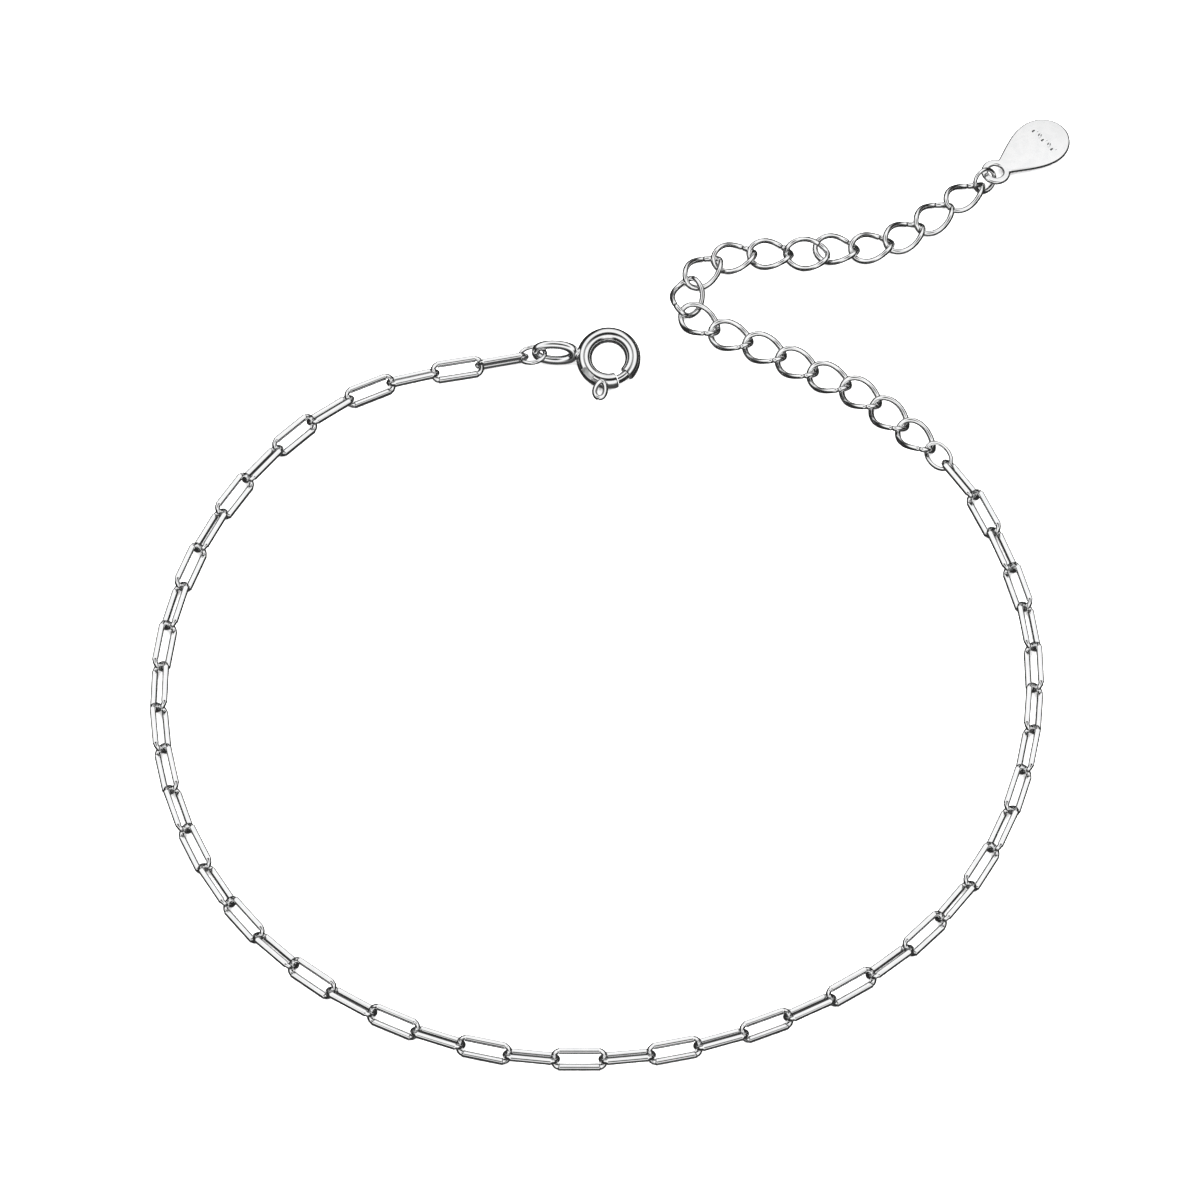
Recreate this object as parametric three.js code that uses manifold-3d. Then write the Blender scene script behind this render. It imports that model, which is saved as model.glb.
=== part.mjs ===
// A fine silver bracelet, lying open on a surface: a chain of 47 paperclip links, a curb
// extender of 18 links that ends in a flat teardrop tag, and a spring-ring clasp.
// Millimetres, +Z up. The origin is the middle of the footprint, on the surface.
import * as THREE from 'three';
import { mergeVertices } from 'three/addons/utils/BufferGeometryUtils.js';
import Module from 'manifold-3d';

const wasm = await Module();
wasm.setup();
const { Manifold, Mesh: ManifoldMesh } = wasm;

const { cos, sin, PI } = Math;
const rad = THREE.MathUtils.degToRad;

// Middle of the footprint in the layout's coordinates, in which every place below is given
const BASE_CENTRE = [1.57, 2.25];

// Paperclip link: two straight bars, thick, joined by thinner and shallow ends. The last links
// before the extender lie slack, so they are closer together
const LINK_COUNT = 47;
const LINK_PITCH = 3.507;
const SLACK_LINKS = 4;
const SLACK_PITCH = 3.425;
const LINK_HALF_LENGTH = 1.92;
const LINK_HALF_WIDTH = 0.63;
const LINK_END_DEPTH = 0.44;
const BAR_RADIUS = 0.26;
const END_RADIUS = 0.2;
const END_CORNERS = [-90, -42, 0, 42, 90];
const LINK_ROLL = 45;
// The end links, by their place from 0, lean as the jump rings hold them
const END_LINK_ROLLS = { 0: 73.1, 46: 50 };
const WIRE_SIDES = 6;

// Curb link of the extender: an oval of round wire, a fifth of a turn of twist from end to end
const CURB_HALF_LENGTH = 1.66;
const CURB_HALF_WIDTH = 1.17;
const CURB_WIRE_RADIUS = 0.2;
const CURB_END_TWIST = 36;
const CURB_SIDES = 12;

// Jump rings: centre, half sizes along and across, direction of the length, tilt about the
// length, and lean about the width
const RING_WIRE_RADIUS = 0.16;
const RING_SIDES = 14;
const CLASP_RING = {
  centre: [-5.245, 21.503, 0.965], half: [0.999, 0.897], direction: 1.6, tilt: -16, lean: -7.8,
};
const EXTENDER_RING = {
  centre: [26.048, 12.622, 0.715], half: [1.28, 0.8], direction: 125.1, tilt: -23.5, lean: 4.8,
};
const TAG_RING = {
  centre: [30.31, 37.485, 0.923], half: [0.974, 0.889], direction: 41, tilt: 57, lean: 3,
};

// Spring ring: a hollow tube bent round, with a mouth that the sprung gate closes
const CLASP_CENTRE = [0.66, 21.22, 0.975];
const CLASP_TILT = 11;
const SPRING_RING_RADIUS = 1.9;
const TUBE_RADIUS = 0.6;
const BORE_RADIUS = 0.43;
const MOUTH_ANGLES = [-71, -44];
const TUBE_STEPS = 26;
const TUBE_SIDES = 12;

// Slot in the tube for the trigger: its place round the tube's section, and along the ring
const SLOT_LEAN = 60;
const SLOT_ANGLES = [-153, -95];
const SLOT_STEPS = 6;
const SLOT_WIDTH = 0.44;

// Eyelet soldered to the spring ring: an oval loop, thicker where it is soldered on
const EYELET_ROOT_ANGLE = 172;
const EYELET_ROOT_REACH = 2.73;
const EYELET_DIRECTION = 177;
const EYELET_HALF_LENGTH = 1.46;
const EYELET_HALF_WIDTH = 0.68;
const EYELET_WIRE_RADIUS = 0.3;
const EYELET_ROOT_RADIUS = 0.38;
const EYELET_ROLL = -47.1;
const EYELET_BLUNTNESS = 0.8;
const EYELET_SIDES = 14;

// Gate: a wire inside the tube, with a trigger eye that stands out of the slot
const GATE_RADIUS = 0.35;
const GATE_ANGLES = [-128, -37];
const GATE_STEPS = 8;
const GATE_SIDES = 10;
const TRIGGER_ANGLE = -103;
const TRIGGER_WIRE_RADIUS = 0.16;
const TRIGGER_NECK = [0.15, 0.84];
const TRIGGER_EYE_FROM = [2.26, 0.78];
const TRIGGER_EYE_TO = [3.42, 0.22];
const TRIGGER_EYE_HALF_WIDTH = 0.4;
const TRIGGER_SIDES = 12;

// Tag: a round ear with a hole, and a teardrop plate that droops to the surface
const TAG_EAR = [31.21, 38.33, 0.86];
const TAG_DIRECTION = 39;
const TAG_DROOP = 5;
const TAG_THICKNESS = 0.36;
const EAR_RADIUS = 1.15;
const EAR_HOLE_RADIUS = 0.6;
const TAG_NECK = [1.0, 0.72];
const TAG_SIDE = [[2.1, 1.27], [3.4, 2.12]];
const TAG_BELLY = [4.82, 2.12];
const TAG_LENGTH = 7.2;

// Route of the paperclip chain on the surface, from the clasp round to the extender
const CHAIN_ROUTE = [
  [-5.9, 21.38], [-17.8, 18.55], [-25.85, 12.1], [-31.2, 2.95], [-33.25, -7.3], [-31.5, -17.7],
  [-26.4, -26.8], [-18.3, -33.5], [-8.4, -37.4], [2.0, -37.95], [12.2, -35.4], [21.5, -30.2],
  [28.35, -22.5], [32.15, -12.7], [32.55, -2.2], [29.4, 7.6], [26.1, 12.8],
];

// Places where the extender's links hook into each other, from the jump ring to the bend and
// back. The chain lies slack at one place, where link 14 starts inside link 13
const EXTENDER_JOINTS = [
  [25.35, 13.25], [23.35, 15.3], [21.3, 17.33], [19.02, 19.0], [16.5, 20.17], [14.05, 21.6],
  [11.5, 22.87], [8.83, 23.95], [6.65, 25.63], [6.98, 28.42], [9.1, 30.33], [11.9, 30.96],
  [14.76, 30.88], [17.6, 30.65],
];
const JOINTS_AFTER_SLACK = [
  [17.13, 31.45], [19.9, 31.27], [22.65, 31.87], [25.06, 33.38], [27.43, 35.32], [30.0, 37.17],
];
// The links that a jump ring or the slack lifts, by their place from 0
const CURB_ROLLS = { 0: 9.1, 12: 20, 17: -14 };

const UP = new THREE.Vector3(0, 0, 1);

function silver(roughness = 0.12) {
  return new THREE.MeshStandardMaterial({ color: 0xd9dadc, metalness: 1, roughness });
}

function named(name, geometry, material = silver()) {
  const mesh = new THREE.Mesh(geometry, material);
  mesh.name = name;
  return mesh;
}

// A closed geometry as a solid, with its shared vertices merged
function toSolid(geometry) {
  const bare = geometry.clone();
  bare.deleteAttribute('normal');
  bare.deleteAttribute('uv');
  const merged = mergeVertices(bare, 1e-5);
  return new Manifold(new ManifoldMesh({
    numProp: 3,
    vertProperties: new Float32Array(merged.attributes.position.array),
    triVerts: new Uint32Array(merged.index.array),
  }));
}

function toGeometry(solid) {
  const { vertProperties, triVerts } = solid.getMesh();
  const geometry = new THREE.BufferGeometry();
  geometry.setAttribute('position', new THREE.BufferAttribute(new Float32Array(vertProperties), 3));
  geometry.setIndex(new THREE.BufferAttribute(new Uint32Array(triVerts), 1));
  geometry.computeVertexNormals();
  return geometry;
}

// Joins geometries that overlap into one body
function fused(geometries) {
  return toGeometry(geometries.map(toSolid).reduce((whole, piece) => whole.add(piece)));
}

// Widens a wire of few sides so that its section has the area of the round wire
function facetedRadius(radius, sides) {
  return radius * Math.sqrt(2 * PI / (sides * sin(2 * PI / sides)));
}

// A closed loop of wire through stations, each with a centre, a direction across the loop's
// plane and a wire radius: a torus whose sections are moved to the stations
function wireLoop(stations, sides) {
  const count = stations.length;
  const geometry = new THREE.TorusGeometry(1, 0.3, sides, count);
  const position = geometry.attributes.position;
  for (let i = 0; i <= count; i += 1) {
    const { centre, up, radius } = stations[i % count];
    const next = stations[(i + 1) % count].centre;
    const last = stations[(i + count - 1) % count].centre;
    const along = next.clone().sub(last).normalize();
    const out = along.clone().cross(up).normalize();
    const across = out.clone().cross(along);
    for (let j = 0; j <= sides; j += 1) {
      const turn = ((j % sides) + 0.5) / sides * 2 * PI;
      const reach = facetedRadius(radius, sides);
      const corner = centre.clone();
      corner.addScaledVector(out, reach * cos(turn)).addScaledVector(across, reach * sin(turn));
      position.setXYZ(j * (count + 1) + i, corner.x, corner.y, corner.z);
    }
  }
  return geometry;
}

function paperclipLink() {
  const straight = LINK_HALF_LENGTH - LINK_END_DEPTH;
  const stations = [1, -1].flatMap((side) => END_CORNERS.map((corner) => ({
    centre: new THREE.Vector3(
      side * (straight + LINK_END_DEPTH * cos(rad(corner))),
      side * LINK_HALF_WIDTH * sin(rad(corner)),
      0),
    up: UP,
    radius: Math.abs(corner) === 90 ? BAR_RADIUS : END_RADIUS,
  })));
  return wireLoop(stations, WIRE_SIDES);
}

function curbLink() {
  const stations = Array.from({ length: CURB_SIDES }, (_, i) => {
    const angle = i / CURB_SIDES * 2 * PI;
    const twist = -rad(CURB_END_TWIST) * cos(angle);
    const width = CURB_HALF_WIDTH * sin(angle);
    return {
      centre: new THREE.Vector3(
        CURB_HALF_LENGTH * cos(angle), width * cos(twist), width * sin(twist)),
      up: new THREE.Vector3(0, -sin(twist), cos(twist)),
      radius: CURB_WIRE_RADIUS,
    };
  });
  return wireLoop(stations, WIRE_SIDES);
}

// Lays a link between two joints, rolled about its length, with its lowest point on the surface
function laid(link, [fromX, fromY], [toX, toY], roll) {
  const geometry = link.clone();
  geometry.rotateX(rad(roll));
  geometry.computeBoundingBox();
  const heading = Math.atan2(toY - fromY, toX - fromX);
  geometry.rotateZ(heading);
  geometry.translate((fromX + toX) / 2, (fromY + toY) / 2, -geometry.boundingBox.min.z);
  return geometry;
}

// Joints along the route, one pitch apart
function chainJoints() {
  const points = CHAIN_ROUTE.map(([x, y]) => new THREE.Vector3(x, y, 0));
  const route = new THREE.CatmullRomCurve3(points, false, 'catmullrom', 0.5);
  const joints = [route.getPoint(0)];
  const samples = 20000;
  for (let i = 1; i <= samples && joints.length <= LINK_COUNT; i += 1) {
    const point = route.getPoint(i / samples);
    const pitch = joints.length > LINK_COUNT - SLACK_LINKS ? SLACK_PITCH : LINK_PITCH;
    if (point.distanceTo(joints.at(-1)) >= pitch) {
      joints.push(point);
    }
  }
  return joints.map(({ x, y }) => [x, y]);
}

function paperclipChain() {
  const link = paperclipLink();
  const joints = chainJoints();
  const links = [];
  for (let i = 0; i < LINK_COUNT; i += 1) {
    const roll = END_LINK_ROLLS[i] ?? (i % 2 === 0 ? LINK_ROLL : -LINK_ROLL);
    links.push(laid(link, joints[i], joints[i + 1], roll));
  }
  return fused(links);
}

function extenderChain() {
  const link = curbLink();
  const links = [];
  for (const joints of [EXTENDER_JOINTS, JOINTS_AFTER_SLACK]) {
    for (let i = 0; i + 1 < joints.length; i += 1) {
      links.push(laid(link, joints[i], joints[i + 1], CURB_ROLLS[links.length] ?? 0));
    }
  }
  return fused(links);
}

function jumpRing({ centre, half, direction, tilt, lean }) {
  const stations = Array.from({ length: RING_SIDES }, (_, i) => {
    const angle = i / RING_SIDES * 2 * PI;
    return {
      centre: new THREE.Vector3(half[0] * cos(angle), half[1] * sin(angle), 0),
      up: UP,
      radius: RING_WIRE_RADIUS,
    };
  });
  const geometry = wireLoop(stations, WIRE_SIDES);
  geometry.rotateX(rad(tilt));
  geometry.rotateY(rad(lean));
  geometry.rotateZ(rad(direction));
  geometry.translate(...centre);
  return geometry;
}

// Part of the spring ring's circle, in the plane z = 0
class RingArc extends THREE.Curve {
  constructor([from, to]) {
    super();
    this.from = rad(from);
    this.to = rad(to);
  }

  getPoint(t) {
    const angle = this.from + (this.to - this.from) * t;
    return new THREE.Vector3(
      SPRING_RING_RADIUS * cos(angle), SPRING_RING_RADIUS * sin(angle), 0);
  }
}

// A point of the tube's section as the extrusion takes it: its first axis points down and its
// second to the ring's middle
function sectionPoint(outward, up) {
  return new THREE.Vector2(-up, -outward);
}

function roundSection(radius, sides) {
  const reach = facetedRadius(radius, sides);
  return Array.from({ length: sides }, (_, i) => {
    const angle = (i + 0.5) / sides * 2 * PI;
    return sectionPoint(reach * cos(angle), reach * sin(angle));
  });
}

function alongRing(section, angles, steps) {
  const extrudePath = new RingArc(angles);
  return new THREE.ExtrudeGeometry(section, { steps, bevelEnabled: false, extrudePath });
}

function tube() {
  const section = new THREE.Shape(roundSection(TUBE_RADIUS, TUBE_SIDES));
  section.holes.push(new THREE.Path(roundSection(BORE_RADIUS, TUBE_SIDES).reverse()));
  return alongRing(section, [MOUTH_ANGLES[1], MOUTH_ANGLES[0] + 360], TUBE_STEPS);
}

function slotCutter() {
  const lean = rad(SLOT_LEAN);
  const corners = [[0.2, -1], [0.2, 1], [0.9, 1], [0.9, -1]].map(([depth, side]) => {
    const across = side * SLOT_WIDTH / 2;
    return sectionPoint(
      depth * cos(lean) - across * sin(lean), depth * sin(lean) + across * cos(lean));
  });
  return alongRing(new THREE.Shape(corners), SLOT_ANGLES, SLOT_STEPS);
}

function eyelet() {
  const stations = Array.from({ length: EYELET_SIDES }, (_, i) => {
    const angle = i / EYELET_SIDES * 2 * PI;
    const root = Math.max(0, -cos(angle)) ** 2;
    const width = Math.sign(sin(angle)) * Math.abs(sin(angle)) ** EYELET_BLUNTNESS;
    return {
      centre: new THREE.Vector3(
        EYELET_HALF_LENGTH * (1 + cos(angle)), EYELET_HALF_WIDTH * width, 0),
      up: UP,
      radius: EYELET_WIRE_RADIUS + (EYELET_ROOT_RADIUS - EYELET_WIRE_RADIUS) * root,
    };
  });
  const geometry = wireLoop(stations, WIRE_SIDES);
  geometry.rotateX(rad(EYELET_ROLL));
  geometry.rotateZ(rad(EYELET_DIRECTION));
  const root = rad(EYELET_ROOT_ANGLE);
  geometry.translate(EYELET_ROOT_REACH * cos(root), EYELET_ROOT_REACH * sin(root), 0);
  return geometry;
}

function springRing() {
  const slotted = toSolid(tube()).subtract(toSolid(slotCutter()));
  return toGeometry(slotted.add(toSolid(eyelet())));
}

// The trigger's neck, out of the tube at the slot's lean
function triggerNeck() {
  const [from, to] = TRIGGER_NECK;
  const reach = facetedRadius(TRIGGER_WIRE_RADIUS, WIRE_SIDES);
  const neck = new THREE.CylinderGeometry(reach, reach, to - from, WIRE_SIDES);
  neck.translate(0, (from + to) / 2, 0);
  neck.rotateZ(rad(SLOT_LEAN - 90));
  neck.rotateX(rad(90));
  neck.translate(SPRING_RING_RADIUS, 0, 0);
  neck.rotateZ(rad(TRIGGER_ANGLE));
  return neck;
}

// The trigger's eye, a loop of wire that leans out over the tube
function triggerEye() {
  const from = new THREE.Vector3(TRIGGER_EYE_FROM[0], 0, TRIGGER_EYE_FROM[1]);
  const to = new THREE.Vector3(TRIGGER_EYE_TO[0], 0, TRIGGER_EYE_TO[1]);
  const middle = from.clone().lerp(to, 0.5);
  const halfLength = to.clone().sub(from).multiplyScalar(0.5);
  const side = new THREE.Vector3(0, 1, 0);
  const up = halfLength.clone().cross(side).normalize();
  const stations = Array.from({ length: TRIGGER_SIDES }, (_, i) => {
    const angle = i / TRIGGER_SIDES * 2 * PI;
    const centre = middle.clone().addScaledVector(halfLength, cos(angle));
    centre.addScaledVector(side, TRIGGER_EYE_HALF_WIDTH * sin(angle) * (1 + 0.2 * cos(angle)));
    return { centre, up, radius: TRIGGER_WIRE_RADIUS };
  });
  const geometry = wireLoop(stations, WIRE_SIDES);
  geometry.rotateZ(rad(TRIGGER_ANGLE));
  return geometry;
}

function gate() {
  const section = new THREE.Shape(roundSection(GATE_RADIUS, GATE_SIDES));
  return fused([alongRing(section, GATE_ANGLES, GATE_STEPS), triggerNeck(), triggerEye()]);
}

function tagOutline() {
  const [neckX, neckY] = TAG_NECK;
  const neckAngle = Math.atan2(neckY, neckX - 0.1);
  const outline = new THREE.Shape();
  outline.absarc(0, 0, EAR_RADIUS, neckAngle, 2 * PI - neckAngle, false);
  outline.bezierCurveTo(
    TAG_SIDE[0][0], -TAG_SIDE[0][1], TAG_SIDE[1][0], -TAG_SIDE[1][1], TAG_BELLY[0], -TAG_BELLY[1]);
  outline.absellipse(
    TAG_BELLY[0], 0, TAG_LENGTH - TAG_BELLY[0], TAG_BELLY[1], -PI / 2, PI / 2, false, 0);
  outline.bezierCurveTo(
    TAG_SIDE[1][0], TAG_SIDE[1][1], TAG_SIDE[0][0], TAG_SIDE[0][1],
    EAR_RADIUS * cos(neckAngle), EAR_RADIUS * sin(neckAngle));
  const hole = new THREE.Path();
  hole.absarc(0, 0, EAR_HOLE_RADIUS, 0, 2 * PI, true);
  outline.holes.push(hole);
  return outline;
}

function tag() {
  const geometry = new THREE.ExtrudeGeometry(tagOutline(), {
    depth: TAG_THICKNESS, bevelEnabled: false, curveSegments: 12,
  });
  geometry.translate(0, 0, -TAG_THICKNESS / 2);
  geometry.rotateY(rad(TAG_DROOP));
  geometry.rotateZ(rad(TAG_DIRECTION));
  geometry.translate(...TAG_EAR);
  return geometry;
}

function clasp() {
  const group = new THREE.Group();
  group.position.set(...CLASP_CENTRE);
  group.rotation.x = rad(CLASP_TILT);
  group.add(named('spring_ring', springRing()), named('clasp_gate', gate()));
  return group;
}

const bracelet = new THREE.Group();
bracelet.position.set(-BASE_CENTRE[0], -BASE_CENTRE[1], 0);
bracelet.add(
  named('paperclip_chain', paperclipChain()),
  named('clasp_jump_ring', jumpRing(CLASP_RING)),
  clasp(),
  named('extender_jump_ring', jumpRing(EXTENDER_RING)),
  named('extender_chain', extenderChain()),
  named('tag_jump_ring', jumpRing(TAG_RING)),
  named('tag', tag(), silver(0.25)),
);

export default bracelet;
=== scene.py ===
import math

import bmesh
import bpy
from mathutils import Matrix, Vector


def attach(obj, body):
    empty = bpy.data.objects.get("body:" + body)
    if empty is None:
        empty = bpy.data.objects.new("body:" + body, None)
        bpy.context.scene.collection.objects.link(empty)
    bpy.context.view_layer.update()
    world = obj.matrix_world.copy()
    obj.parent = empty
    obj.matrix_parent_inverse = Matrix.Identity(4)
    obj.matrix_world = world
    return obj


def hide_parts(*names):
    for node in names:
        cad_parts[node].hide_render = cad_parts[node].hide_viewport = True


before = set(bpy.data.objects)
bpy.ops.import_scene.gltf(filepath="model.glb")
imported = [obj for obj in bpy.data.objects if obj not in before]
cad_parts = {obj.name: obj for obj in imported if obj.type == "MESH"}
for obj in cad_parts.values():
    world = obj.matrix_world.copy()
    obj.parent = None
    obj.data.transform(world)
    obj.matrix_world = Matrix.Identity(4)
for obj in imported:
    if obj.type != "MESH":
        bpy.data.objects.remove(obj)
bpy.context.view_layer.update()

MM = 0.001
TURN = 2 * math.pi

# Middle of the footprint in the layout's coordinates
BASE_CENTRE = (1.57, 2.25)

# Camera: the point that it looks at, how high it stands, how far away, its lens and sensor, and
# the nearest and farthest that it sees
LOOK_AT = (0.0, 0.0, 0.75)
CAMERA_ELEVATION = 61.55
CAMERA_DISTANCE = 468.0
CAMERA_LENS = 184.9
SENSOR_WIDTH = 36
CAMERA_CLIP = (10, 20000)

# The studio's light by elevation, toward the far side, the near side, and the left and right.
# The soft boxes end above a dark table, and leave a dark gap overhead
FAR_LIGHT = (
    (-90, 0.1), (-60, 0.05), (0, 0.02), (10, 0.04), (18, 0.3), (26, 0.85), (50, 1.0), (62, 1.05),
    (74, 0.95), (79, 0.4), (83, 0.02), (90, 0.02),
)
NEAR_LIGHT = (
    (-90, 0.1), (-62, 0.07), (-30, 0.06), (0, 0.1), (10, 0.3), (22, 1.0), (54, 1.05), (62, 0.4),
    (67, 0.02), (90, 0.02),
)
SIDE_LIGHT = (
    (-90, 0.1), (-60, 0.05), (-20, 0.02), (28, 0.03), (34, 0.3), (41, 1.0), (52, 1.05), (62, 1.05),
    (74, 0.9), (81, 0.1), (90, 0.02),
)
# How far left and right of the middle the side light begins and is full
LEFT_ZONE = (0.1, 0.36)
RIGHT_ZONE = (0.22, 0.5)
# Where the near side's light gives way to the far side's
DEPTH_ZONE = (-0.1, 0.1)

# Floor, and the lamp above it: its strength, and how wide it looks
FLOOR_REACH = 3000
FLOOR_GREY = 0.93
FLOOR_ROUGHNESS = 0.9
LAMP_STRENGTH = 9.0
LAMP_WIDTH = 110

# Silver: its two tones and where each is full in the noise, the scales of its cloudy wear and
# its fine unevenness, and how high that unevenness is
SILVER_TONES = ((0.89, 0.895, 0.9), (0.94, 0.94, 0.94))
TONE_STOPS = (0.35, 0.6)
CLOUD_SCALE = 1400.0
FINE_SCALE = 9000.0
DENT_HEIGHT = 0.02

# Paperclip link. A bar's flats are BAR_FLAT from its middle, and its stations are given as shares
# of its half length
LINK_COUNT = 47
LINK_PITCH = 3.507
SLACK_LINKS = 4
SLACK_PITCH = 3.425
LINK_HALF_LENGTH = 1.92
LINK_HALF_WIDTH = 0.63
LINK_END_DEPTH = 0.44
BAR_FLAT = 0.235
BAR_SQUARENESS = 3.4
BAR_STATIONS = (0.0, 0.5, 0.97, 1.0)
END_RADIUS = 0.2
END_STATIONS = range(-80, 81, 10)
LINK_SIDES = 32
LINK_ROLL = 45
END_LINK_ROLLS = {0: 73.1, LINK_COUNT - 1: 50}

# Curb link
CURB_HALF_LENGTH = 1.66
CURB_HALF_WIDTH = 1.17
CURB_WIRE_RADIUS = 0.215
CURB_STATIONS = 64
CURB_SIDES = 16
CURB_END_TWIST = 36
CURB_ROLLS = {0: 9.1, 12: 20, 17: -14}
# Where a link's wire is soldered: its angle round the oval, before the bend and after it
SEAM_ANGLES = (131, 57)
LINKS_BEFORE_BEND = 9
SEAM_HALF_WIDTH = 0.1
SEAM_DEPTH = 0.04

# Jump rings
RING_WIRE_RADIUS = 0.165
RING_STATIONS = 64
RING_SIDES = 18
JUMP_RINGS = {
    "clasp_jump_ring": {
        "centre": (-5.245, 21.503, 0.965), "half": (0.999, 0.897),
        "direction": 1.6, "tilt": -16, "lean": -7.8,
    },
    "extender_jump_ring": {
        "centre": (26.048, 12.622, 0.715), "half": (1.28, 0.8),
        "direction": 125.1, "tilt": -23.5, "lean": 4.8,
    },
    "tag_jump_ring": {
        "centre": (30.31, 37.485, 0.923), "half": (0.974, 0.889),
        "direction": 41, "tilt": 57, "lean": 3,
    },
}

# Spring ring: the bent tube, its bore and its mouth
CLASP_CENTRE = (0.66, 21.22, 0.975)
CLASP_TILT = 11
SPRING_RING_RADIUS = 1.9
TUBE_RADIUS = 0.6
TUBE_STEPS = 160
TUBE_SIDES = 40
BORE_RADIUS = 0.43
BORE_STEPS = 120
BORE_SIDES = 32
BORE_OVERRUN = 2
BORE_TOLERANCE = 1.02
MOUTH_ANGLES = (-71, -44)
MOUTH_EDGE = 0.06

# Slot for the trigger, cut between two depths from the tube's middle line
SLOT_LEAN = 60
SLOT_ANGLES = (-153, -95)
SLOT_WIDTH = 0.44
SLOT_DEPTHS = (0.2, 0.9)
SLOT_STEPS = 40

# Eyelet
EYELET_ROOT_ANGLE = 172
EYELET_ROOT_REACH = 2.73
EYELET_DIRECTION = 177
EYELET_HALF_LENGTH = 1.46
EYELET_HALF_WIDTH = 0.68
EYELET_WIRE_RADIUS = 0.34
EYELET_ROOT_RADIUS = 0.4
EYELET_ROLL = -47.1
EYELET_BLUNTNESS = 0.8
EYELET_STATIONS = 72
EYELET_SIDES = 24

# Gate and trigger
GATE_RADIUS = 0.35
GATE_ANGLES = (-128, -37)
GATE_EDGE = 0.15
GATE_STEPS = 80
GATE_SIDES = 28
TRIGGER_ANGLE = -103
TRIGGER_WIRE_RADIUS = 0.21
TRIGGER_NECK = (0.15, 0.84)
TRIGGER_EYE_FROM = (2.26, 0.78)
TRIGGER_EYE_TO = (3.42, 0.22)
TRIGGER_EYE_HALF_WIDTH = 0.4
TRIGGER_EYE_TAPER = 0.2
TRIGGER_SEAM_DEPTH = 0.08
TRIGGER_STATIONS = 64
TRIGGER_SIDES = 16

# Tag. Its neck leaves the ear in the direction of TAG_NECK
TAG_EAR = (31.21, 38.33, 0.86)
TAG_DIRECTION = 39
TAG_DROOP = 5
TAG_THICKNESS = 0.36
EAR_RADIUS = 1.15
EAR_STEPS = 48
EAR_HOLE_RADIUS = 0.6
EAR_HOLE_STEPS = 40
TAG_NECK = (0.9, 0.72)
TAG_SIDE = ((2.1, 1.27), (3.4, 2.12))
TAG_SIDE_STEPS = 28
TAG_BELLY = (4.82, 2.12)
TAG_BELLY_STEPS = 56
TAG_LENGTH = 7.2
TAG_EDGE = 0.16
TAG_EDGE_STEPS = 4
# An edge of the plate that turns by more than this is rounded, and a point this near to the
# plate's upper or lower side lies in it
TAG_RIM_ANGLE = 60
TAG_TOLERANCE = 1e-4
# Punched marks on the tag: a row of plain dimples across the plate, which widen upwards
MARKS_REACH = 5.05
MARK_PLACES = (-1.15, -0.6, -0.05, 0.5, 1.05)
MARK_SIZE = (0.27, 0.14)
MARK_FLARE = (0.5, 1.5)
MARK_SLANT = 30
MARK_DEPTH = 0.09
MARK_STEPS = 20

# Route of the paperclip chain, and the joints of the extender
CHAIN_ROUTE = (
    (-5.9, 21.38), (-17.8, 18.55), (-25.85, 12.1), (-31.2, 2.95), (-33.25, -7.3), (-31.5, -17.7),
    (-26.4, -26.8), (-18.3, -33.5), (-8.4, -37.4), (2.0, -37.95), (12.2, -35.4), (21.5, -30.2),
    (28.35, -22.5), (32.15, -12.7), (32.55, -2.2), (29.4, 7.6), (26.1, 12.8),
)
ROUTE_SAMPLES = 20000
EXTENDER_JOINTS = (
    (25.35, 13.25), (23.35, 15.3), (21.3, 17.33), (19.02, 19.0), (16.5, 20.17), (14.05, 21.6),
    (11.5, 22.87), (8.83, 23.95), (6.65, 25.63), (6.98, 28.42), (9.1, 30.33), (11.9, 30.96),
    (14.76, 30.88), (17.6, 30.65),
)
JOINTS_AFTER_SLACK = (
    (17.13, 31.45), (19.9, 31.27), (22.65, 31.87), (25.06, 33.38), (27.43, 35.32), (30.0, 37.17),
)


def rad(degrees):
    return math.radians(degrees)


def rotation(degrees, axis):
    return Matrix.Rotation(rad(degrees), 4, axis)


# Meshes


class Surface:
    """Points, faces and each face's material number, gathered before they become one mesh."""

    def __init__(self):
        self.points = []
        self.faces = []
        self.slots = []

    def add(self, points, faces, slots=None):
        first = len(self.points)
        self.points.extend(points)
        self.faces.extend(tuple(first + i for i in face) for face in faces)
        self.slots.extend(slots if slots is not None else [0] * len(faces))

    def mesh_object(self, name, materials, smooth_angle=40):
        mesh = bpy.data.meshes.new(name)
        base = Vector((BASE_CENTRE[0], BASE_CENTRE[1], 0))
        mesh.from_pydata([(p - base) * MM for p in self.points], [], self.faces)
        for material in materials:
            mesh.materials.append(material)
        mesh.polygons.foreach_set("material_index", self.slots)
        mesh.polygons.foreach_set("use_smooth", [True] * len(mesh.polygons))
        mesh.update()
        mesh.set_sharp_from_angle(angle=rad(smooth_angle))
        piece = bpy.data.objects.new(name, mesh)
        bpy.context.scene.collection.objects.link(piece)
        return piece


def finished(piece, node, body="bracelet"):
    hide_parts(node)
    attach(piece, body)
    return piece


def section(radius, sides, squareness=2.0):
    """Corners of a round section, or of a square one that stands on its rounded corner."""
    corners = []
    for j in range(sides):
        turn = (j + 0.5) / sides * TURN
        c, s = math.cos(turn - TURN / 8), math.sin(turn - TURN / 8)
        reach = radius * (abs(c) ** squareness + abs(s) ** squareness) ** (-1 / squareness)
        corners.append((reach * math.cos(turn), reach * math.sin(turn)))
    return corners


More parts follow.
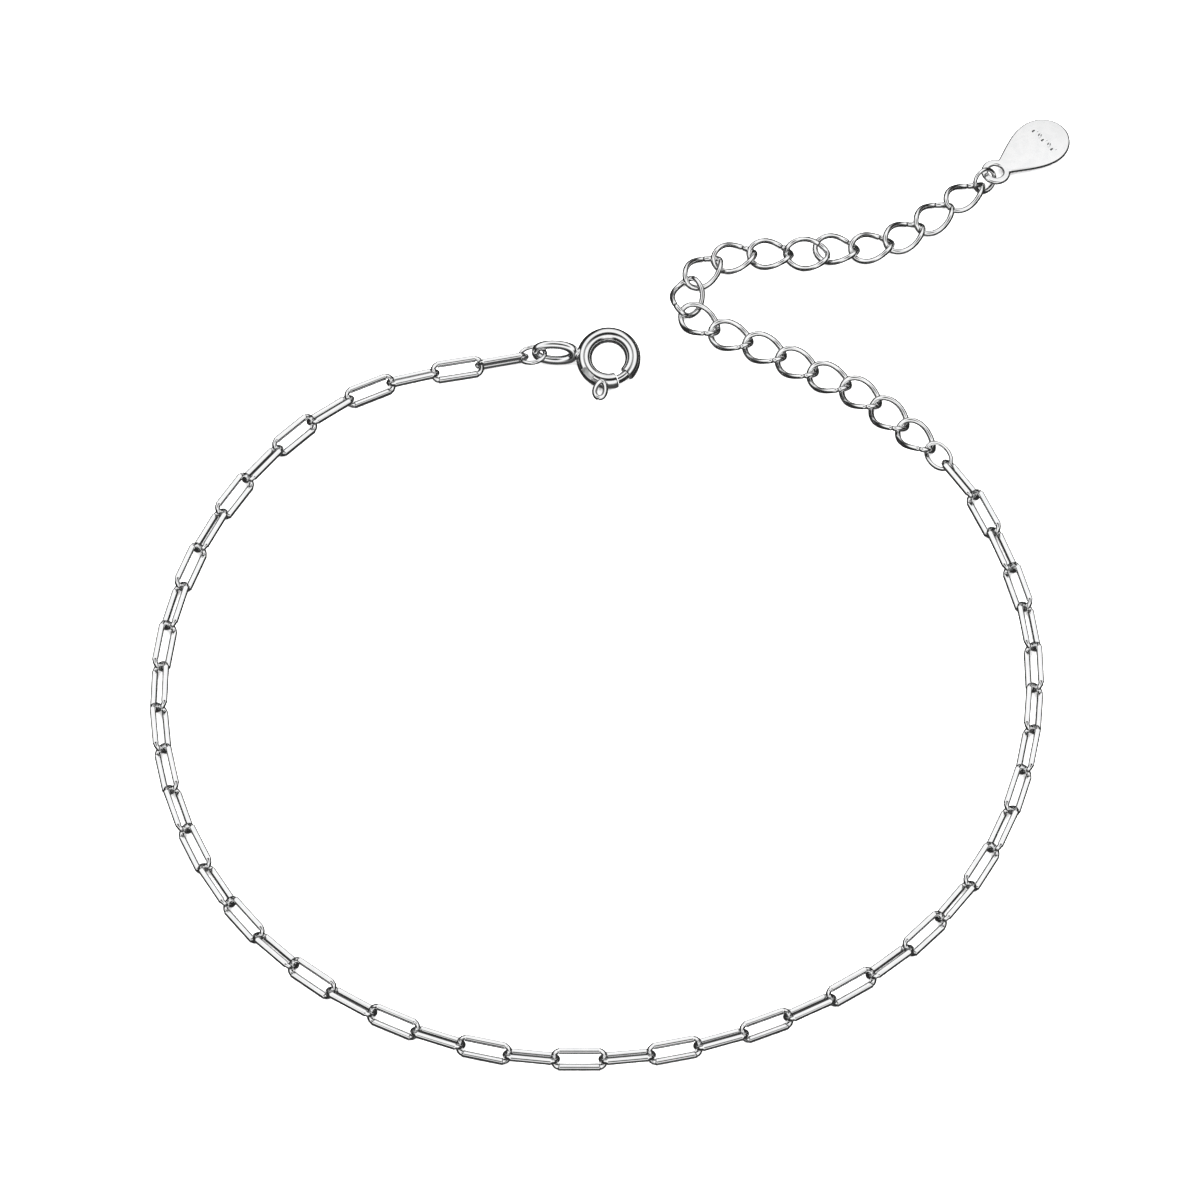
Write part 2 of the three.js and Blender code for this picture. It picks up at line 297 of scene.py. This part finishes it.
def wire_loop(stations, sides, matrix=Matrix.Identity(4)):
    """A closed loop of wire through stations of (centre, up, radius, squareness)."""
    count = len(stations)
    points = []
    for i in range(count):
        centre, up, radius, squareness = stations[i]
        along = (stations[(i + 1) % count][0] - stations[i - 1][0]).normalized()
        out = along.cross(up).normalized()
        across = out.cross(along)
        for x, y in section(radius, sides, squareness):
            points.append(matrix @ (centre + out * x + across * y))
    faces = []
    for i in range(count):
        near, far = i * sides, (i + 1) % count * sides
        for j in range(sides):
            k = (j + 1) % sides
            faces.append((near + j, near + k, far + k, far + j))
    return points, faces


def oriented(points, faces):
    """The faces, turned over if they point inwards."""
    volume = sum(
        points[f[0]].dot(points[f[i]].cross(points[f[i + 1]]))
        for f in faces for i in range(1, len(f) - 1))
    return faces if volume > 0 else [tuple(reversed(f)) for f in faces]


def laid_matrix(points, start, end, roll):
    """Places a link between two joints, rolled about its length, with its lowest point on the floor."""
    rolled = rotation(roll, "X")
    heading = math.degrees(math.atan2(end[1] - start[1], end[0] - start[0]))
    height = -min((rolled @ p).z for p in points)
    middle = Vector(((start[0] + end[0]) / 2, (start[1] + end[1]) / 2, height))
    return Matrix.Translation(middle) @ rotation(heading, "Z") @ rolled


# Chains


def paperclip_link(roll):
    """Straight bars with four flats, level when the link is rolled, joined by thinner round ends."""
    straight = LINK_HALF_LENGTH - LINK_END_DEPTH
    up = Vector((0, 0, 1))
    bar_up = rotation(math.copysign(LINK_ROLL, roll) - roll, "X") @ up
    stations = []
    for side in (1, -1):
        for along in BAR_STATIONS:
            centre = Vector((side * straight * along, -side * LINK_HALF_WIDTH, 0))
            stations.append((centre, bar_up, BAR_FLAT, BAR_SQUARENESS))
        for corner in END_STATIONS:
            centre = Vector((
                side * (straight + LINK_END_DEPTH * math.cos(rad(corner))),
                side * LINK_HALF_WIDTH * math.sin(rad(corner)), 0))
            stations.append((centre, up, END_RADIUS, 2.0))
        for along in reversed(BAR_STATIONS[1:]):
            centre = Vector((side * straight * along, side * LINK_HALF_WIDTH, 0))
            stations.append((centre, bar_up, BAR_FLAT, BAR_SQUARENESS))
    return stations


def chain_joints():
    """Joints one pitch apart along a smooth route through the chain's points."""
    route = [Vector(p) for p in CHAIN_ROUTE]
    route = [2 * route[0] - route[1]] + route + [2 * route[-1] - route[-2]]
    spans = len(route) - 3

    def place(t):
        i = min(int(t * spans), spans - 1)
        w = t * spans - i
        p0, p1, p2, p3 = route[i:i + 4]
        from_tangent = (p2 - p0) / 2
        to_tangent = (p3 - p1) / 2
        bend = 2 * p1 - 2 * p2 + from_tangent + to_tangent
        rise = -3 * p1 + 3 * p2 - 2 * from_tangent - to_tangent
        return p1 + from_tangent * w + rise * w ** 2 + bend * w ** 3

    joints = [place(0)]
    for i in range(1, ROUTE_SAMPLES + 1):
        point = place(i / ROUTE_SAMPLES)
        pitch = SLACK_PITCH if len(joints) > LINK_COUNT - SLACK_LINKS else LINK_PITCH
        if (point - joints[-1]).length >= pitch:
            joints.append(point)
        if len(joints) > LINK_COUNT:
            break
    return joints


def paperclip_chain(materials):
    surface = Surface()
    joints = chain_joints()
    for i in range(LINK_COUNT):
        roll = END_LINK_ROLLS.get(i, LINK_ROLL if i % 2 == 0 else -LINK_ROLL)
        points, faces = wire_loop(paperclip_link(roll), LINK_SIDES)
        faces = oriented(points, faces)
        matrix = laid_matrix(points, joints[i], joints[i + 1], roll)
        surface.add([matrix @ p for p in points], faces)
    return finished(surface.mesh_object("paperclip_links", materials), "paperclip_chain")


def curb_station(angle, radius):
    """A station of the curb link's wire, which twists from end to end."""
    twist = -rad(CURB_END_TWIST) * math.cos(angle)
    width = CURB_HALF_WIDTH * math.sin(angle)
    centre = Vector((CURB_HALF_LENGTH * math.cos(angle), width * math.cos(twist), width * math.sin(twist)))
    return centre, Vector((0, -math.sin(twist), math.cos(twist))), radius, 2.0


def curb_link(seam_angle):
    """A curb link whose wire is drawn in a little at its soldered seam."""
    seam = rad(seam_angle)
    half = SEAM_HALF_WIDTH / CURB_HALF_LENGTH
    stations = []
    for i in range(CURB_STATIONS + 1):
        angle = seam + half + (TURN - 2 * half) * i / CURB_STATIONS
        stations.append(curb_station(angle, CURB_WIRE_RADIUS))
    for angle in (seam - half * 0.5, seam + half * 0.5):
        stations.append(curb_station(angle, CURB_WIRE_RADIUS - SEAM_DEPTH))
    points, faces = wire_loop(stations, CURB_SIDES)
    slots = [
        1 if CURB_STATIONS < i // CURB_SIDES < CURB_STATIONS + 2 else 0
        for i in range(len(faces))]
    return points, oriented(points, faces), slots


def extender_chain(materials):
    surface = Surface()
    links = [curb_link(angle) for angle in SEAM_ANGLES]
    number = 0
    for joints in (EXTENDER_JOINTS, JOINTS_AFTER_SLACK):
        for start, end in zip(joints, joints[1:]):
            points, faces, slots = links[0 if number < LINKS_BEFORE_BEND else 1]
            matrix = laid_matrix(points, start, end, CURB_ROLLS.get(number, 0))
            surface.add([matrix @ p for p in points], faces, slots)
            number += 1
    return finished(surface.mesh_object("curb_links", materials), "extender_chain")


def jump_ring(name, materials):
    spec = JUMP_RINGS[name]
    stations = []
    for i in range(RING_STATIONS):
        angle = i / RING_STATIONS * TURN
        centre = Vector((spec["half"][0] * math.cos(angle), spec["half"][1] * math.sin(angle), 0))
        stations.append((centre, Vector((0, 0, 1)), RING_WIRE_RADIUS, 2.0))
    matrix = (Matrix.Translation(Vector(spec["centre"])) @ rotation(spec["direction"], "Z")
              @ rotation(spec["lean"], "Y") @ rotation(spec["tilt"], "X"))
    points, faces = wire_loop(stations, RING_SIDES, matrix)
    surface = Surface()
    surface.add(points, oriented(points, faces))
    return finished(surface.mesh_object(name + "_wire", materials), name)


# Clasp


def clasp_matrix():
    return Matrix.Translation(Vector(CLASP_CENTRE)) @ rotation(CLASP_TILT, "X")


def ring_point(angle, outward, up):
    """A point of the tube's section at an angle of the spring ring, in the clasp's own frame."""
    reach = SPRING_RING_RADIUS + outward
    return Vector((reach * math.cos(rad(angle)), reach * math.sin(rad(angle)), up))


def ring_sweep(sections):
    """Joins sections, each a list of points with as many corners, into a solid with flat ends."""
    sides = len(sections[0])
    points = [p for corners in sections for p in corners]
    faces = []
    for i in range(len(sections) - 1):
        for j in range(sides):
            k = (j + 1) % sides
            faces.append((i * sides + j, i * sides + k, (i + 1) * sides + k, (i + 1) * sides + j))
    faces.append(tuple(range(sides)))
    last = (len(sections) - 1) * sides
    faces.append(tuple(reversed(range(last, last + sides))))
    return points, oriented(points, faces)


def round_ring(radius_at, angles, steps, sides):
    """A wire bent round the spring ring's circle, between two angles.

    radius_at gives its radius at a distance from the nearer of its ends.
    """
    length = abs(rad(angles[1] - angles[0])) * SPRING_RING_RADIUS
    sections = []
    for i in range(steps + 1):
        t = i / steps
        angle = angles[0] + (angles[1] - angles[0]) * t
        corners = section(radius_at(min(t, 1 - t) * length), sides)
        sections.append([ring_point(angle, x, y) for x, y in corners])
    return ring_sweep(sections)


def eased_end(radius, edge):
    """A radius that is drawn in over a short edge at both ends of a bent wire."""
    def radius_at(distance):
        if distance >= edge:
            return radius
        return radius - edge + math.sqrt(max(0.0, edge ** 2 - (edge - distance) ** 2))
    return radius_at


def slot_box():
    """The solid that cuts the slot: a bent bar that leans outwards and up from the tube's middle."""
    lean = rad(SLOT_LEAN)
    inner, outer = SLOT_DEPTHS
    sections = []
    for i in range(SLOT_STEPS + 1):
        angle = SLOT_ANGLES[0] + (SLOT_ANGLES[1] - SLOT_ANGLES[0]) * i / SLOT_STEPS
        corners = []
        for depth, side in ((inner, -1), (inner, 1), (outer, 1), (outer, -1)):
            across = side * SLOT_WIDTH / 2
            corners.append(ring_point(
                angle, depth * math.cos(lean) - across * math.sin(lean),
                depth * math.sin(lean) + across * math.cos(lean)))
        sections.append(corners)
    return ring_sweep(sections)


def temporary(name, points, faces):
    mesh = bpy.data.meshes.new(name)
    mesh.from_pydata([tuple(p) for p in points], [], faces)
    piece = bpy.data.objects.new(name, mesh)
    bpy.context.scene.collection.objects.link(piece)
    return piece


def without(solid, cutters):
    """The points and faces of a solid after the cutters are taken out of it."""
    body = temporary("body", *solid)
    tools = [temporary("cutter", *cutter) for cutter in cutters]
    for tool in tools:
        modifier = body.modifiers.new("cut", "BOOLEAN")
        modifier.operation = "DIFFERENCE"
        modifier.solver = "EXACT"
        modifier.object = tool
    bpy.context.view_layer.update()
    evaluated = body.evaluated_get(bpy.context.evaluated_depsgraph_get())
    mesh = evaluated.to_mesh()
    points = [v.co.copy() for v in mesh.vertices]
    faces = [tuple(p.vertices) for p in mesh.polygons]
    evaluated.to_mesh_clear()
    for piece in [body] + tools:
        bpy.data.objects.remove(piece)
    return points, faces


def eyelet():
    """A blunt oval of wire that is thickest at its root, where it is soldered to the tube."""
    stations = []
    for i in range(EYELET_STATIONS):
        angle = i / EYELET_STATIONS * TURN
        nearness = max(0.0, -math.cos(angle)) ** 2
        s = math.sin(angle)
        width = math.copysign(abs(s) ** EYELET_BLUNTNESS, s)
        centre = Vector((EYELET_HALF_LENGTH * (1 + math.cos(angle)), EYELET_HALF_WIDTH * width, 0))
        radius = EYELET_WIRE_RADIUS + (EYELET_ROOT_RADIUS - EYELET_WIRE_RADIUS) * nearness
        stations.append((centre, Vector((0, 0, 1)), radius, 2.0))
    root = ring_point(EYELET_ROOT_ANGLE, EYELET_ROOT_REACH - SPRING_RING_RADIUS, 0)
    matrix = Matrix.Translation(root) @ rotation(EYELET_DIRECTION, "Z") @ rotation(EYELET_ROLL, "X")
    points, faces = wire_loop(stations, EYELET_SIDES, matrix)
    return points, oriented(points, faces)


def in_bore(point):
    """Whether a point of the bent tube is on the wall of its bore."""
    depth = math.hypot(math.hypot(point.x, point.y) - SPRING_RING_RADIUS, point.z)
    return depth < BORE_RADIUS * BORE_TOLERANCE


def spring_ring(materials):
    """The tube, polished outside and matte inside, with the inside's colour darkened as painted shade, and
    its eyelet.
    """
    span = (MOUTH_ANGLES[1], MOUTH_ANGLES[0] + 360)
    outer = round_ring(eased_end(TUBE_RADIUS, MOUTH_EDGE), span, TUBE_STEPS, TUBE_SIDES)
    bore_span = (span[0] - BORE_OVERRUN, span[1] + BORE_OVERRUN)
    bore = round_ring(lambda distance: BORE_RADIUS, bore_span, BORE_STEPS, BORE_SIDES)
    points, faces = without(outer, [bore, slot_box()])
    # Faces of the bore get the second material: matte silver whose darker tone is painted shade inside the
    # tube
    slots = [1 if all(in_bore(points[i]) for i in face) else 0 for face in faces]
    surface = Surface()
    matrix = clasp_matrix()
    surface.add([matrix @ p for p in points], faces, slots)
    points, faces = eyelet()
    surface.add([matrix @ p for p in points], faces)
    return finished(surface.mesh_object("spring_ring_tube", materials, smooth_angle=30), "spring_ring")


def trigger_neck():
    """The short post from the gate, out through the slot, to the trigger's eye."""
    lean = rad(SLOT_LEAN)
    sections = []
    for reach in TRIGGER_NECK:
        corners = []
        for x, y in section(TRIGGER_WIRE_RADIUS, TRIGGER_SIDES):
            corners.append(Vector((
                SPRING_RING_RADIUS + reach * math.cos(lean) - x * math.sin(lean),
                y, reach * math.sin(lean) + x * math.cos(lean))))
        sections.append(corners)
    points, faces = ring_sweep(sections)
    turn = rotation(TRIGGER_ANGLE, "Z")
    return [turn @ p for p in points], faces


def trigger_eye():
    """A drop-shaped loop of wire, drawn in where its ends meet at the outer end."""
    start = Vector((TRIGGER_EYE_FROM[0], 0, TRIGGER_EYE_FROM[1]))
    end = Vector((TRIGGER_EYE_TO[0], 0, TRIGGER_EYE_TO[1]))
    middle = start.lerp(end, 0.5)
    half_length = (end - start) * 0.5
    side = Vector((0, 1, 0))
    up = half_length.cross(side).normalized()
    stations = []
    for i in range(TRIGGER_STATIONS):
        angle = i / TRIGGER_STATIONS * TURN
        taper = 1 + TRIGGER_EYE_TAPER * math.cos(angle)
        centre = middle + half_length * math.cos(angle)
        centre += side * TRIGGER_EYE_HALF_WIDTH * math.sin(angle) * taper
        drawn_in = TRIGGER_SEAM_DEPTH if i == 0 else 0.0
        stations.append((centre, up, TRIGGER_WIRE_RADIUS - drawn_in, 2.0))
    points, faces = wire_loop(stations, TRIGGER_SIDES, rotation(TRIGGER_ANGLE, "Z"))
    return points, oriented(points, faces)


def gate(materials):
    surface = Surface()
    matrix = clasp_matrix()
    wire = round_ring(eased_end(GATE_RADIUS, GATE_EDGE), GATE_ANGLES, GATE_STEPS, GATE_SIDES)
    for points, faces in (wire, trigger_neck(), trigger_eye()):
        surface.add([matrix @ p for p in points], faces)
    return finished(surface.mesh_object("gate_wire", materials), "clasp_gate", body="gate")


# Tag


def bezier(p0, p1, p2, p3, count):
    points = []
    for i in range(count):
        t = i / count
        points.append(
            (1 - t) ** 3 * Vector(p0) + 3 * (1 - t) ** 2 * t * Vector(p1)
            + 3 * (1 - t) * t ** 2 * Vector(p2) + t ** 3 * Vector(p3))
    return points


def mirrored(point):
    """A point of the tag's outline, on the other side of its middle line."""
    return point[0], -point[1]


def tag_outline():
    """The plate's outline in its own plane, anticlockwise, from the upper side of the neck."""
    neck = math.atan2(TAG_NECK[1], TAG_NECK[0])
    start = (EAR_RADIUS * math.cos(neck), EAR_RADIUS * math.sin(neck))
    outline = []
    for i in range(EAR_STEPS):
        angle = neck + (TURN - 2 * neck) * i / EAR_STEPS
        outline.append(Vector((EAR_RADIUS * math.cos(angle), EAR_RADIUS * math.sin(angle))))
    lower = [mirrored(p) for p in (start, *TAG_SIDE, TAG_BELLY)]
    outline += bezier(*lower, TAG_SIDE_STEPS)
    nose = TAG_LENGTH - TAG_BELLY[0]
    for i in range(TAG_BELLY_STEPS):
        angle = -math.pi / 2 + math.pi * i / TAG_BELLY_STEPS
        outline.append(Vector((TAG_BELLY[0] + nose * math.cos(angle), TAG_BELLY[1] * math.sin(angle))))
    outline += bezier(TAG_BELLY, TAG_SIDE[1], TAG_SIDE[0], start, TAG_SIDE_STEPS)
    return outline


def tag_hole():
    hole = []
    for i in range(EAR_HOLE_STEPS):
        angle = i / EAR_HOLE_STEPS * TURN
        hole.append(Vector((EAR_HOLE_RADIUS * math.cos(angle), EAR_HOLE_RADIUS * math.sin(angle))))
    return hole


def tag_matrix():
    return Matrix.Translation(Vector(TAG_EAR)) @ rotation(TAG_DIRECTION, "Z") @ rotation(TAG_DROOP, "Y")


def tag_plate():
    """The plate with its hole and rounded edges, before it is punched."""
    maker = bmesh.new()
    loops = []
    for ring in (tag_outline(), tag_hole()):
        corners = [maker.verts.new((p.x, p.y, -TAG_THICKNESS / 2)) for p in ring]
        loops.append([maker.edges.new((corners[i - 1], corners[i])) for i in range(len(corners))])
    bmesh.ops.triangle_fill(maker, use_beauty=True, edges=loops[0] + loops[1])
    grown = bmesh.ops.extrude_face_region(maker, geom=list(maker.faces))
    bmesh.ops.translate(
        maker, vec=(0, 0, TAG_THICKNESS),
        verts=[g for g in grown["geom"] if isinstance(g, bmesh.types.BMVert)])
    bmesh.ops.recalc_face_normals(maker, faces=maker.faces)
    rim = [e for e in maker.edges if len(e.link_faces) == 2 and e.calc_face_angle() > rad(TAG_RIM_ANGLE)]
    bmesh.ops.bevel(
        maker, geom=rim, offset=TAG_EDGE, segments=TAG_EDGE_STEPS, profile=0.5, affect="EDGES")
    maker.verts.index_update()
    points = [v.co.copy() for v in maker.verts]
    faces = [tuple(v.index for v in f.verts) for f in maker.faces]
    maker.free()
    return points, faces


def flat_face(points, face):
    """Whether a face of the plate lies in its upper or lower side."""
    return all(abs(abs(points[i].z) - TAG_THICKNESS / 2) < TAG_TOLERANCE for i in face)


def punched_marks():
    """Oval dimples with sloping sides, each as a closed solid that stands out above the plate."""
    marks = []
    top = TAG_THICKNESS / 2
    for number, place in enumerate(MARK_PLACES):
        slant = rad(MARK_SLANT if number % 2 else -MARK_SLANT)
        sections = []
        for height, grown in zip((top - MARK_DEPTH, top + MARK_DEPTH), MARK_FLARE):
            corners = []
            for i in range(MARK_STEPS):
                x = grown * MARK_SIZE[0] * math.cos(i / MARK_STEPS * TURN)
                y = grown * MARK_SIZE[1] * math.sin(i / MARK_STEPS * TURN)
                corners.append(Vector((
                    MARKS_REACH + x * math.cos(slant) - y * math.sin(slant),
                    place + x * math.sin(slant) + y * math.cos(slant), height)))
            sections.append(corners)
        marks.append(ring_sweep(sections))
    return marks


def tag(materials):
    """The plate: its flat sides and punched marks in the first or second material."""
    points, faces = without(tag_plate(), punched_marks())
    slots = [0 if flat_face(points, face) else 1 for face in faces]
    surface = Surface()
    matrix = tag_matrix()
    surface.add([matrix @ p for p in points], faces, slots)
    return finished(surface.mesh_object("tag_plate", materials, smooth_angle=50), "tag")


# Materials


def node_tools(tree):
    def node(kind, **values):
        made = tree.nodes.new(kind)
        for key, value in values.items():
            if key in made.inputs:
                made.inputs[key].default_value = value
            else:
                setattr(made, key, value)
        return made

    def link(start, end):
        tree.links.new(start, end)

    return node, link


def silver(name, roughness, wear, dent, tone=1.0, metal=1.0):
    """Silver with small changes of gloss from handling and a faint unevenness."""
    material = bpy.data.materials.new(name)
    material.use_nodes = True
    tree = material.node_tree
    node, link = node_tools(tree)
    shader = tree.nodes["Principled BSDF"]
    shader.inputs["Metallic"].default_value = metal
    place = node("ShaderNodeTexCoord")
    cloud = node("ShaderNodeTexNoise", Scale=CLOUD_SCALE, Detail=4.0)
    link(place.outputs["Object"], cloud.inputs["Vector"])
    gloss = node("ShaderNodeMapRange")
    gloss.inputs["To Min"].default_value = roughness
    gloss.inputs["To Max"].default_value = roughness + wear
    link(cloud.outputs["Fac"], gloss.inputs["Value"])
    link(gloss.outputs["Result"], shader.inputs["Roughness"])
    tint = node("ShaderNodeValToRGB")
    for element, stop, (red, green, blue) in zip(tint.color_ramp.elements, TONE_STOPS, SILVER_TONES):
        element.position = stop
        element.color = (red * tone, green * tone, blue * tone, 1)
    link(cloud.outputs["Fac"], tint.inputs["Fac"])
    link(tint.outputs["Color"], shader.inputs["Base Color"])
    fine = node("ShaderNodeTexNoise", Scale=FINE_SCALE, Detail=3.0)
    link(place.outputs["Object"], fine.inputs["Vector"])
    bump = node("ShaderNodeBump", Strength=dent)
    bump.inputs["Distance"].default_value = DENT_HEIGHT * MM
    link(fine.outputs["Fac"], bump.inputs["Height"])
    link(bump.outputs["Normal"], shader.inputs["Normal"])
    return material


def floor_material():
    material = bpy.data.materials.new("pale_floor")
    material.use_nodes = True
    shader = material.node_tree.nodes["Principled BSDF"]
    shader.inputs["Base Color"].default_value = (FLOOR_GREY, FLOOR_GREY, FLOOR_GREY, 1)
    shader.inputs["Roughness"].default_value = FLOOR_ROUGHNESS
    shader.inputs["Specular IOR Level"].default_value = 0.0
    return material


# Studio


def light_ramp(node, link, height, stops):
    """Grey light by elevation."""
    ramp = node("ShaderNodeValToRGB")
    elements = ramp.color_ramp.elements
    while len(elements) < len(stops):
        elements.new(0.5)
    for element, (elevation, light) in zip(elements, stops):
        element.position = (math.sin(rad(elevation)) + 1) / 2
        element.color = (light, light, light, 1)
    link(height, ramp.inputs["Fac"])
    return ramp.outputs["Color"]


def remap(node, link, value, source, target, smooth=True):
    """A value carried from one range to another."""
    made = node("ShaderNodeMapRange", interpolation_type="SMOOTHSTEP" if smooth else "LINEAR")
    for name, number in zip(("From Min", "From Max", "To Min", "To Max"), source + target):
        made.inputs[name].default_value = number
    link(value, made.inputs["Value"])
    return made.outputs["Result"]


def mixed(node, link, factor, first, second):
    """Two colours, blended. The node's colour sockets are its inputs 6 and 7 and its output 2."""
    made = node("ShaderNodeMix", data_type="RGBA")
    link(factor, made.inputs[0])
    link(first, made.inputs[6])
    link(second, made.inputs[7])
    return made.outputs[2]


def studio_world():
    """Soft boxes round a dark table, as light by direction: far, near, left and right."""
    world = bpy.data.worlds.new("studio")
    bpy.context.scene.world = world
    world.use_nodes = True
    tree = world.node_tree
    node, link = node_tools(tree)
    background = tree.nodes["Background"]
    place = node("ShaderNodeTexCoord").outputs["Generated"]
    split = node("ShaderNodeSeparateXYZ")
    link(place, split.inputs["Vector"])
    height = remap(node, link, split.outputs["Z"], (-1.0, 1.0), (0.0, 1.0), smooth=False)
    far = light_ramp(node, link, height, FAR_LIGHT)
    near = light_ramp(node, link, height, NEAR_LIGHT)
    side = light_ramp(node, link, height, SIDE_LIGHT)
    depth = remap(node, link, split.outputs["Y"], DEPTH_ZONE, (0.0, 1.0))
    ahead = mixed(node, link, depth, near, far)
    right = remap(node, link, split.outputs["X"], RIGHT_ZONE, (0.0, 1.0))
    leftward = node("ShaderNodeMath", operation="MULTIPLY")
    leftward.inputs[1].default_value = -1.0
    link(split.outputs["X"], leftward.inputs[0])
    left = remap(node, link, leftward.outputs[0], LEFT_ZONE, (0.0, 1.0))
    light = mixed(node, link, left, mixed(node, link, right, ahead, side), side)
    link(light, background.inputs["Color"])
    background.inputs["Strength"].default_value = 1.0


def studio_floor():
    mesh = bpy.data.meshes.new("floor")
    reach = FLOOR_REACH * MM
    corners = [(-reach, -reach, 0), (reach, -reach, 0), (reach, reach, 0), (-reach, reach, 0)]
    mesh.from_pydata(corners, [], [(0, 1, 2, 3)])
    mesh.materials.append(floor_material())
    floor = bpy.data.objects.new("floor", mesh)
    bpy.context.scene.collection.objects.link(floor)
    floor.visible_glossy = False


def studio_light():
    """One broad, soft light from above that whitens the floor and isn't mirrored in the silver."""
    lamp = bpy.data.lights.new("overhead", "SUN")
    lamp.energy = LAMP_STRENGTH
    lamp.angle = rad(LAMP_WIDTH)
    light = bpy.data.objects.new("overhead", lamp)
    light.visible_glossy = False
    bpy.context.scene.collection.objects.link(light)


def camera():
    lens = bpy.data.cameras.new("camera")
    lens.lens = CAMERA_LENS
    lens.sensor_width = SENSOR_WIDTH
    lens.clip_start = CAMERA_CLIP[0] * MM
    lens.clip_end = CAMERA_CLIP[1] * MM
    eye = bpy.data.objects.new("camera", lens)
    target = Vector((LOOK_AT[0] - BASE_CENTRE[0], LOOK_AT[1] - BASE_CENTRE[1], LOOK_AT[2])) * MM
    lift = rad(CAMERA_ELEVATION)
    eye.location = target + Vector((0, -math.cos(lift), math.sin(lift))) * CAMERA_DISTANCE * MM
    eye.rotation_euler = (math.pi / 2 - lift, 0, 0)
    bpy.context.scene.collection.objects.link(eye)
    bpy.context.scene.camera = eye


def look():
    settings = bpy.context.scene.view_settings
    settings.view_transform = "Standard"
    settings.look = "None"
    settings.exposure = 0.0


camera()
studio_world()
studio_floor()
studio_light()
look()

polished = silver("polished_silver", roughness=0.05, wear=0.06, dent=0.05)
satin = silver("satin_silver", roughness=0.16, wear=0.03, dent=0.08, tone=0.98)
solder = silver("solder", roughness=0.3, wear=0.2, dent=0.3, tone=0.15)
# Silver for the tube's bore: rougher and less metallic, as an unpolished bore is, and its darker tone of
# 0.8 is painted shade inside the tube
bore_silver_painted_shade = silver("matte_silver_painted_shade", roughness=0.5, wear=0.1, dent=0.3, tone=0.8, metal=0.3)

paperclip_chain([polished])
extender_chain([polished, solder])
for ring in JUMP_RINGS:
    jump_ring(ring, [polished])
spring_ring([polished, bore_silver_painted_shade])
gate([polished])
tag([satin, polished])
